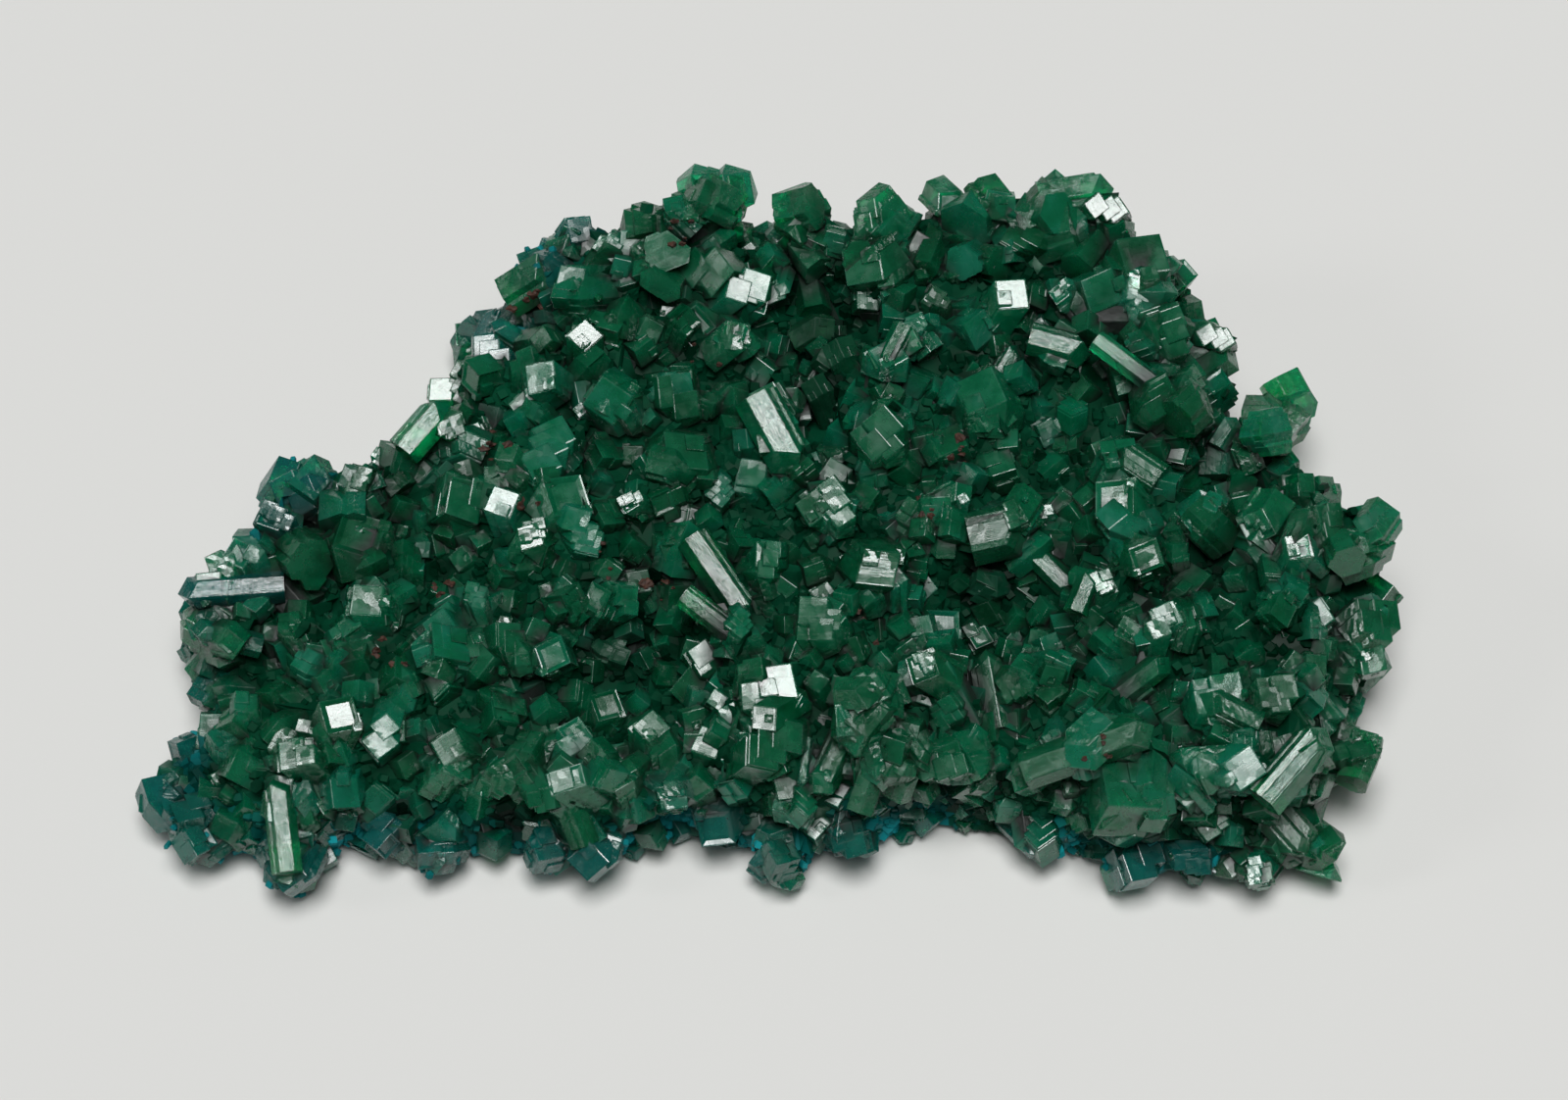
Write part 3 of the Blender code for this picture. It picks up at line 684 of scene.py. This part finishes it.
# Tiny sparkling crystals that sit on the sides of the larger ones, just below their end faces, and
# frost the blue-green parts of the rim. Those parts are given by their middle and radius in the
# picture, in pixels.
BLUE_PLACES = [
    (549, 222, 26), (550, 250, 24), (518, 289, 30), (515, 312, 28), (490, 335, 22), (330, 445, 30),
    (300, 470, 30), (270, 495, 30), (250, 515, 28), (178, 610, 24), (172, 650, 26), (180, 700, 26),
    (225, 880, 38), (270, 895, 38), (300, 910, 30), (165, 830, 34), (440, 872, 30), (590, 897, 28),
    (640, 875, 26), (730, 864, 28), (870, 868, 30), (910, 860, 30), (945, 850, 26), (1155, 890, 32),
    (145, 800, 26), (185, 755, 22), (190, 860, 30), (340, 860, 26), (385, 868, 26), (500, 880, 26),
    (550, 885, 26), (690, 850, 24), (770, 880, 24), (810, 886, 26), (1080, 868, 20), (1240, 890, 18),
    (600, 215, 16), (400, 425, 20),
]


def blue_at(point):
    """How blue a place is, from 0 to 1."""
    px, py = shown_at(point)
    nearest = min(math.hypot(px - x, py - y) / size for x, y, size in BLUE_PLACES)
    return math.exp(-nearest * nearest)


TINY_TRIES = 9000
TINY_RADII = (0.2 * MM, 0.48 * MM)
SHARE_ON_GREEN = 0.05
SHARE_ON_BLUE = 0.8
LEAST_BLUE_OF_FROSTING = 0.35
LARGER = 1.1 * MM
LOWEST_TINY = 1.0 * MM
BELOW_END_FACES = (0.7, 2.0)
TINY_UPTURN = (0.3, 1.5)
TINY_OUT = 0.6
TINY_LENGTH = 2.6
TINY_SHINE = (0.3, 1.0)
frosting = []

larger_ones = [crystal for crystal in crystals if crystal[2] > LARGER]
for _ in range(TINY_TRIES):
    tip, turn, radius, _, _, _ = growth_rng.choice(larger_ones)
    bearing = growth_rng.uniform(0, 2 * math.pi)
    place = Vector((math.cos(bearing), math.sin(bearing), -growth_rng.uniform(*BELOW_END_FACES)))
    axis = turn @ Vector((math.cos(bearing), math.sin(bearing), growth_rng.uniform(*TINY_UPTURN)))
    axis.normalize()
    tiny = growth_rng.uniform(*TINY_RADII)
    tip = tip + turn @ (place * radius) + axis * tiny * TINY_OUT
    wanted = SHARE_ON_GREEN + SHARE_ON_BLUE * blue_at(tip)
    if growth_rng.random() > wanted or tip.z < LOWEST_TINY or not inside_box(tip):
        continue
    if hides_a_shown_face(tip, tiny):
        continue
    tiny_turn = axis.to_track_quat("Z", "Y").to_matrix() @ Matrix.Rotation(bearing, 3, "Z")
    if blue_at(tip) > LEAST_BLUE_OF_FROSTING:
        frosting.append((tip, tiny_turn, tiny))
    else:
        add_crystal(tip, tiny_turn, tiny, "small", growth_rng.uniform(*TINY_SHINE), TINY_LENGTH * tiny)


# All crystals are one mass, so their copies are united where they grow through each other: first
# the larger ones, then the small ones between them.
grown = bpy.data.collections.new("grown_crystals")
bpy.context.scene.collection.children.link(grown)
SMALLEST_LARGE = 1.35 * MM
HOLLOW_EDGE = 1.1


def hollow_shade_at(point):
    """How far a place is inside a hollow, from 0 to 1, which sets how much shade is painted there."""
    px, py = shown_at(point)
    nearest = min(math.hypot(px - x, py - y) / size for x, y, size in HOLLOWS)
    return math.exp(-((nearest / HOLLOW_EDGE) ** 4))


def grow_copy(collection, tip, turn, radius, mould, length, shine):
    """Adds a copy of a mould to a collection, with its root drawn out or cut to the length."""
    mesh = mould.data.copy()
    for vertex in mesh.vertices:
        if vertex.co.z < -MOULD_LENGTH + ROOT_SLACK:
            vertex.co.z = -length / radius
    mesh.transform(Matrix.Translation(tip) @ turn.to_4x4() @ Matrix.Scale(radius, 4))
    # The copy's faces carry its tone, shine and blue, and how much shade is painted on them in a hollow.
    looks = {"tint": growth_rng.random(), "shine": shine, "blue": blue_at(tip), "painted_shade": hollow_shade_at(tip)}
    for name, value in looks.items():
        layer = mesh.attributes.new(name, "FLOAT", "FACE")
        layer.data.foreach_set("value", [value] * len(mesh.polygons))
    collection.objects.link(bpy.data.objects.new("grown", mesh))


def unite(obj, collection):
    """Unites an object with the copies in a collection, and keeps the result off the table."""
    apply(
        obj, "BOOLEAN",
        operation="UNION", solver="MANIFOLD", operand_type="COLLECTION", collection=collection,
    )
    for copied in list(collection.objects):
        bpy.data.objects.remove(copied)
    for vertex in obj.data.vertices:
        vertex.co.z = max(vertex.co.z, 0)
    apply(obj, "TRIANGULATE")


sizes = {"dioptase_crystals": (SMALLEST_LARGE, math.inf), "small_dioptase_crystals": (0, SMALLEST_LARGE)}
masses = []
for name, (least, most) in sizes.items():
    for tip, turn, radius, kind, shine, length in crystals:
        if least <= radius < most:
            grow_copy(grown, tip, turn, radius, growth_rng.choice(MOULDS[kind]), length, shine)
    mass = grown.objects[0]
    grown.objects.unlink(mass)
    bpy.context.scene.collection.objects.link(mass)
    mass.name = mass.data.name = name
    unite(mass, grown)
    masses.append(mass)


# How open each point of the crystals is: deep between them little light comes back out. A point
# looks straight out and in two rings round that, and sees no other face that is near. The material
# paints the colour darker where a point is little open, as shade.
OPEN_WITHIN = 2.8 * MM
OFF_THE_FACE = 0.04 * MM
RINGS = [(35, 3), (65, 5)]
look_round = [Vector((0, 0, 1))]
for ring_lean, count in RINGS:
    for number in range(count):
        bearing = 2 * math.pi * (number + ring_lean / 90) / count
        lean = math.radians(ring_lean)
        sideways = Vector((math.cos(bearing), math.sin(bearing), 0)) * math.sin(lean)
        look_round.append(sideways + Vector((0, 0, math.cos(lean))))

points, faces = [], []
for mass in masses:
    start = len(points)
    points.extend(vertex.co.copy() for vertex in mass.data.vertices)
    faces.extend([start + index for index in face.vertices] for face in mass.data.polygons)
grown_surface = BVHTree.FromPolygons(points, faces)
for mass in masses:
    openness = []
    for vertex in mass.data.vertices:
        upright = vertex.normal.to_track_quat("Z", "Y")
        start = vertex.co + vertex.normal * OFF_THE_FACE
        hits = [grown_surface.ray_cast(start, upright @ way, OPEN_WITHIN)[0] for way in look_round]
        openness.append(hits.count(None) / len(look_round))
    mass.data.attributes.new("open", "FLOAT", "POINT").data.foreach_set("value", openness)


# Dioptase: deep green and glassy, darker the further light goes through it. Its faces are satin,
# with terraces and fine growth lines that follow their edges, and a few shine like silver. Its colour
# has painted highlights along the edges, and painted shade between the crystals and in the hollows.
# The pale green of the painted edge highlights, the teal of the rim, and the deep green that painted shade
# darkens the crystals towards.
EDGE_HIGHLIGHT_GREEN = (0.06, 0.6, 0.4, 1)
TEAL = (0.008, 0.44, 0.48, 1)
PAINTED_SHADE_GREEN = (0, 0.015, 0.006, 1)
dioptase = bpy.data.materials.new("green_dioptase")
dioptase.use_nodes = True
nodes = dioptase.node_tree.nodes
links = dioptase.node_tree.links
shader = nodes["Principled BSDF"]
shader.inputs["IOR"].default_value = 1.66
shader.inputs["Transmission Weight"].default_value = 0.85


def add(kind, inputs=(), operation=None, **settings):
    """A node whose inputs are set to values or linked to outputs, by name or number."""
    node = nodes.new(kind)
    if operation:
        node.operation = operation
    for name, value in settings.items():
        setattr(node, name, value)
    for name, value in dict(inputs).items():
        if isinstance(value, bpy.types.NodeSocket):
            links.new(value, node.inputs[name])
        else:
            node.inputs[name].default_value = value
    return node


def maths(operation, *values):
    return add("ShaderNodeMath", enumerate(values), operation).outputs[0]


def noise_over(vector, scale, detail, **inputs):
    inputs.update(Vector=vector, Scale=scale, Detail=detail)
    return add("ShaderNodeTexNoise", inputs).outputs["Fac"]


def ramp(value, low, high, out_low, out_high):
    """A value brought from one range to another, and kept inside it."""
    inputs = {"Value": value, "From Min": low, "From Max": high, "To Min": out_low, "To Max": out_high}
    return add("ShaderNodeMapRange", inputs).outputs["Result"]


def attribute(name):
    return add("ShaderNodeAttribute", attribute_name=name).outputs["Fac"]


def colour_between(value, stops):
    """A colour that changes with a value, from stop to stop."""
    node = add("ShaderNodeValToRGB", {"Fac": value})
    while len(node.color_ramp.elements) < len(stops):
        node.color_ramp.elements.new(0.5)
    for element, (position, colour) in zip(node.color_ramp.elements, stops):
        element.position = position
        element.color = (*colour, 1)
    return node.outputs["Color"]


def mixed(factor, first, second):
    return add("ShaderNodeMix", {"Factor": factor, 6: first, 7: second}, data_type="RGBA").outputs[2]


tint, shine, blue = attribute("tint"), attribute("shine"), attribute("blue")
place = add("ShaderNodeTexCoord").outputs["Object"]
face_map = add("ShaderNodeSeparateXYZ", {0: add("ShaderNodeUVMap").outputs["UV"]})
across, along = face_map.outputs["X"], face_map.outputs["Y"]
from_sides = maths("MINIMUM", maths("ABSOLUTE", across), maths("ABSOLUTE", maths("SUBTRACT", 1, across)))
from_ends = maths("MINIMUM", maths("ABSOLUTE", along), maths("ABSOLUTE", maths("SUBTRACT", 1, along)))
from_edge = maths("MINIMUM", from_sides, from_ends)

clouds = noise_over(place, 450, 5, Roughness=0.6)
waves = noise_over(place, 700, 1)
grain = noise_over(place, 3500, 3)
stretched = {0: maths("MULTIPLY", across, 26), 1: maths("MULTIPLY", along, 1.5), 2: tint}
lines = noise_over(add("ShaderNodeCombineXYZ", stretched).outputs[0], 1, 3)


def differing(times, low, high):
    """A value that is the same all over one crystal and differs from crystal to crystal."""
    return ramp(maths("FRACT", maths("MULTIPLY", tint, times)), 0.0, 1.0, low, high)


steps_in = maths("MULTIPLY", from_edge, maths("MAXIMUM", differing(7.3, -13, 5), 0))
steps_across = maths("MULTIPLY", across, differing(13.7, -3, 4))
steps_along = maths("MULTIPLY", along, differing(31.1, -3, 4))
wander = maths("MULTIPLY_ADD", clouds, 5.0, maths("ADD", steps_in, maths("ADD", steps_across, steps_along)))
terraces = maths("FLOOR", wander)

# Painted highlight: the colour is lightened to pale green in a thin band along the edges of every face. The
# same band also rounds the edges in the bump.
edge_highlight_and_rounding = ramp(from_edge, 0.0, 0.035, 1.0, 0.0)
body = maths("MULTIPLY_ADD", tint, 0.5, maths("MULTIPLY_ADD", clouds, 0.9, -0.2))
greens = [(0.1, (0.002, 0.35, 0.12)), (0.55, (0.004, 0.69, 0.30)), (0.95, (0.02, 0.95, 0.58))]
edge_highlighted = mixed(maths("MULTIPLY", edge_highlight_and_rounding, 0.35), colour_between(body, greens), EDGE_HIGHLIGHT_GREEN)
blued = mixed(maths("MULTIPLY", blue, 0.8), edge_highlighted, TEAL)
# Painted shade: the colour is darkened towards deep green where a point is little open between the
# crystals, and in the hollows.
painted_crevice_shade = ramp(attribute("open"), 0.1, 0.95, 0.98, 0.0)
painted_shade = maths("MAXIMUM", maths("MULTIPLY", attribute("painted_shade"), 0.6), painted_crevice_shade)
links.new(mixed(painted_shade, blued, PAINTED_SHADE_GREEN), shader.inputs["Base Color"])

satin = ramp(shine, 0.0, 1.0, 0.24, 0.09)
roughness = maths("ADD", satin, ramp(clouds, 0.35, 0.7, -0.06, 0.14))
roughness = maths("ADD", roughness, ramp(painted_shade, 0.3, 1.0, 0.0, 0.3))
links.new(maths("MAXIMUM", roughness, 0.05), shader.inputs["Roughness"])

on_a_side = ramp(along, -0.02, 0.0, 1.0, 0.0)
grooves = maths("MULTIPLY", lines, ramp(on_a_side, 0.0, 1.0, 0.07, 0.3))
relief = maths("MULTIPLY_ADD", terraces, 0.07, maths("MULTIPLY_ADD", grain, 0.025, grooves))

shifted = add("ShaderNodeCombineXYZ", {0: maths("MULTIPLY_ADD", tint, 37, across), 1: along})
block = add(
    "ShaderNodeTexVoronoi", {"Vector": shifted.outputs[0], "Scale": 2.6, "Randomness": 0.9},
    voronoi_dimensions="2D", distance="CHEBYCHEV",
)
off_centre = add("ShaderNodeVectorMath", {0: shifted.outputs[0], 1: block.outputs["Position"]}, "SUBTRACT")
lean = add("ShaderNodeVectorMath", {0: block.outputs["Color"], 1: (0.5, 0.5, 0.5)}, "SUBTRACT")
tilted = add("ShaderNodeVectorMath", {0: off_centre.outputs[0], 1: lean.outputs[0]}, "DOT_PRODUCT")
relief = maths("MULTIPLY_ADD", tilted.outputs["Value"], 2.6, relief)

rounded = maths("MULTIPLY_ADD", edge_highlight_and_rounding, -0.25, maths("MULTIPLY_ADD", waves, 0.3, relief))
bump = add("ShaderNodeBump", {"Height": rounded, "Strength": 1.0, "Distance": 0.0001})
links.new(bump.outputs["Normal"], shader.inputs["Normal"])

absorption = add("ShaderNodeVolumeAbsorption", {"Color": (0.02, 0.78, 0.5, 1), "Density": 700.0})
links.new(absorption.outputs["Volume"], nodes["Material Output"].inputs["Volume"])
for mass in masses:
    mass.data.materials.clear()
    mass.data.materials.append(dioptase)
    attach(mass, "root")
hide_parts("dioptase_plate")


# The crust that all crystals are rooted in: fine grains grown together, turquoise at the rim and
# elsewhere a green so dark that it also paints the shade in the gaps; in the hollows it is painted
# darker still, as shade. Where no crystal covers it, grains stand out of it, and the frosting of the
# rim is rooted in it too.
GRAIN_RADII = (0.28 * MM, 0.6 * MM)
GRAIN_TRIES = 14000
GRAIN_TILT = 0.8
GRAIN_OUT = (0.6, 1.4)
GRAIN_ABOVE = 0.05 * MM
GRAIN_HEIGHT_RADII = 1.5
GRAIN_CLEAR_OF_TABLE = 0.2 * MM
GRAIN_LENGTH = 3
FROSTING_LENGTH = 4
CRUST_SHINE = 0.2
PAINTED_SHADE_BLACK = (0, 0.002, 0.001, 1)
# The crust's faces carry how blue they are, and how much shade is painted on them in a hollow.
for name, value_at in (("blue", blue_at), ("painted_shade", hollow_shade_at)):
    layer = core.data.attributes.new(name, "FLOAT", "FACE")
    layer.data.foreach_set("value", [value_at(face.center) for face in core.data.polygons])
druse = bpy.data.collections.new("druse")
bpy.context.scene.collection.children.link(druse)
cover = surface_of_crystals()
for _ in range(GRAIN_TRIES):
    a, b, c = growth_rng.choices(crust_triangles, cum_weights=crust_area)[0]
    normal = (b - a).cross(c - a).normalized()
    point = point_in(a, b, c)
    if cover.ray_cast(point + normal * GRAIN_ABOVE, normal)[0] is not None:
        continue
    radius = growth_rng.uniform(*GRAIN_RADII)
    tilt = Vector(growth_rng.uniform(-GRAIN_TILT, GRAIN_TILT) for _ in range(3))
    axis = (normal + tilt).normalized()
    tip = point + axis * radius * growth_rng.uniform(*GRAIN_OUT)
    if tip.z < GRAIN_HEIGHT_RADII * radius + GRAIN_CLEAR_OF_TABLE:
        continue
    turn = axis.to_track_quat("Z", "Y").to_matrix()
    grow_copy(druse, tip, turn, radius, tiny_mould, GRAIN_LENGTH * radius, CRUST_SHINE)
for tip, turn, radius in frosting:
    grow_copy(druse, tip, turn, radius, tiny_mould, FROSTING_LENGTH * radius, CRUST_SHINE)
core.name = core.data.name = "blue_green_crust"
unite(core, druse)

crust = bpy.data.materials.new("blue_green_crust")
crust.use_nodes = True
nodes = crust.node_tree.nodes
links = crust.node_tree.links
shader = nodes["Principled BSDF"]
shader.inputs["Specular IOR Level"].default_value = 0.06
place = add("ShaderNodeTexCoord").outputs["Object"]
patches = noise_over(place, 260, 4)
# The crust's own green, kept nearly black, which also paints the shade in the gaps between the crystals.
dark = colour_between(patches, [(0.35, (0.0003, 0.014, 0.006)), (0.7, (0.001, 0.055, 0.025))])
bright = colour_between(patches, [(0.3, (0.002, 0.11, 0.11)), (0.7, (0.01, 0.30, 0.34))])
# Painted shade: in the hollows the crust's colour is darkened nearly to black.
painted_shade = maths("MULTIPLY", attribute("painted_shade"), 0.9)
shaded = mixed(painted_shade, mixed(attribute("blue"), dark, bright), PAINTED_SHADE_BLACK)
links.new(shaded, shader.inputs["Base Color"])
links.new(ramp(patches, 0.3, 0.7, 0.3, 0.7), shader.inputs["Roughness"])
core.data.materials.clear()
core.data.materials.append(crust)
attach(core, "root")


# Rusty specks of iron oxide, earthy grains that settled in the gaps between the crystals. Their
# places are read off the picture, a few specks at each.
SPECK_PLACES = [
    (620, 560), (395, 670), (720, 370), (980, 455), (940, 520), (535, 300), (700, 235), (500, 455),
    (540, 505), (668, 600), (1120, 760), (880, 640), (455, 600),
]
SPECKS_AT_A_PLACE = 6
SPECK_SPREAD_PX = 8
SPECK_SIZES = (0.15, 0.5)
SPECK_LUMPS = 0.7
SPECK_LUMP_SCALE = 1.7
speck_rng = random.Random(8)
bpy.ops.object.select_all(action="DESELECT")
bpy.ops.mesh.primitive_ico_sphere_add(subdivisions=2, radius=1)
grit = bpy.context.object
for vertex in grit.data.vertices:
    vertex.co = vertex.co * (1 + SPECK_LUMPS * noise.noise(vertex.co * SPECK_LUMP_SCALE))
specks = bmesh.new()
for px, py in SPECK_PLACES:
    for _ in range(SPECKS_AT_A_PLACE):
        right, down = speck_rng.gauss(0, SPECK_SPREAD_PX), speck_rng.gauss(0, SPECK_SPREAD_PX)
        point = grown_surface.ray_cast(eye, sight_line(px + right, py + down))[0]
        if point is None:
            continue
        grain_mesh = grit.data.copy()
        size = speck_rng.uniform(*SPECK_SIZES) * MM
        tilt = Matrix.Rotation(speck_rng.uniform(0, 6), 4, "X")
        turn = tilt @ Matrix.Rotation(speck_rng.uniform(0, 6), 4, "Z")
        flat = Matrix.Diagonal((size, size * 0.8, size * 0.5, 1))
        grain_mesh.transform(Matrix.Translation(point) @ turn @ flat)
        specks.from_mesh(grain_mesh)
        bpy.data.meshes.remove(grain_mesh)

speck_mesh = bpy.data.meshes.new("iron_oxide_specks")
specks.to_mesh(speck_mesh)
specks.free()
bpy.data.objects.remove(grit)
rust_specks = bpy.data.objects.new("iron_oxide_specks", speck_mesh)
bpy.context.scene.collection.objects.link(rust_specks)
rust = bpy.data.materials.new("iron_oxide")
rust.use_nodes = True
nodes = rust.node_tree.nodes
links = rust.node_tree.links
shader = nodes["Principled BSDF"]
shader.inputs["Roughness"].default_value = 0.7
place = add("ShaderNodeTexCoord").outputs["Object"]
stain = noise_over(place, 2500, 3)
browns = colour_between(stain, [(0.3, (0.015, 0.006, 0.003)), (0.7, (0.075, 0.026, 0.013))])
links.new(browns, shader.inputs["Base Color"])
speck_mesh.materials.append(rust)
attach(rust_specks, "root")

# The moulds have been copied everywhere by now, and aren't part of the plate.
for moulds in MOULDS.values():
    for mould in moulds:
        bpy.data.objects.remove(mould)


# The floor that the plate lies on: plain, pale and matt, and no piece of the plate.
bpy.ops.mesh.primitive_plane_add(size=6)
floor = bpy.context.object
floor.name = "floor"
pale = bpy.data.materials.new("pale_floor")
pale.use_nodes = True
shader = pale.node_tree.nodes["Principled BSDF"]
shader.inputs["Base Color"].default_value = (0.72, 0.72, 0.70, 1)
shader.inputs["Roughness"].default_value = 0.7
floor.data.materials.append(pale)


# Studio light from above the plate: a bright light that the flashing faces mirror, a wider and
# dimmer one beside it that the silvery faces mirror, and a weak one from the left.
def far_light(name, elevation, azimuth, width, strength):
    level = math.cos(elevation)
    towards = Vector((math.sin(azimuth) * level, -math.cos(azimuth) * level, math.sin(elevation)))
    bpy.ops.object.light_add(type="SUN", location=AIM + towards)
    lamp = bpy.context.object
    lamp.name = name
    lamp.rotation_euler = towards.to_track_quat("Z", "Y").to_euler()
    lamp.data.angle = width
    lamp.data.energy = strength


far_light("key", LAMP_ELEVATION, 0, math.radians(27), 2.05)
far_light("wide", math.radians(76), 0, math.radians(36), 0.8)
far_light("side", math.radians(35), math.radians(-80), math.radians(14), 0.2)
world = bpy.data.worlds.new("studio")
bpy.context.scene.world = world
world.use_nodes = True
world.node_tree.nodes["Background"].inputs["Color"].default_value = (0.9, 0.95, 1.0, 1)
world.node_tree.nodes["Background"].inputs["Strength"].default_value = 0.05
bpy.context.scene.view_settings.view_transform = "Standard"
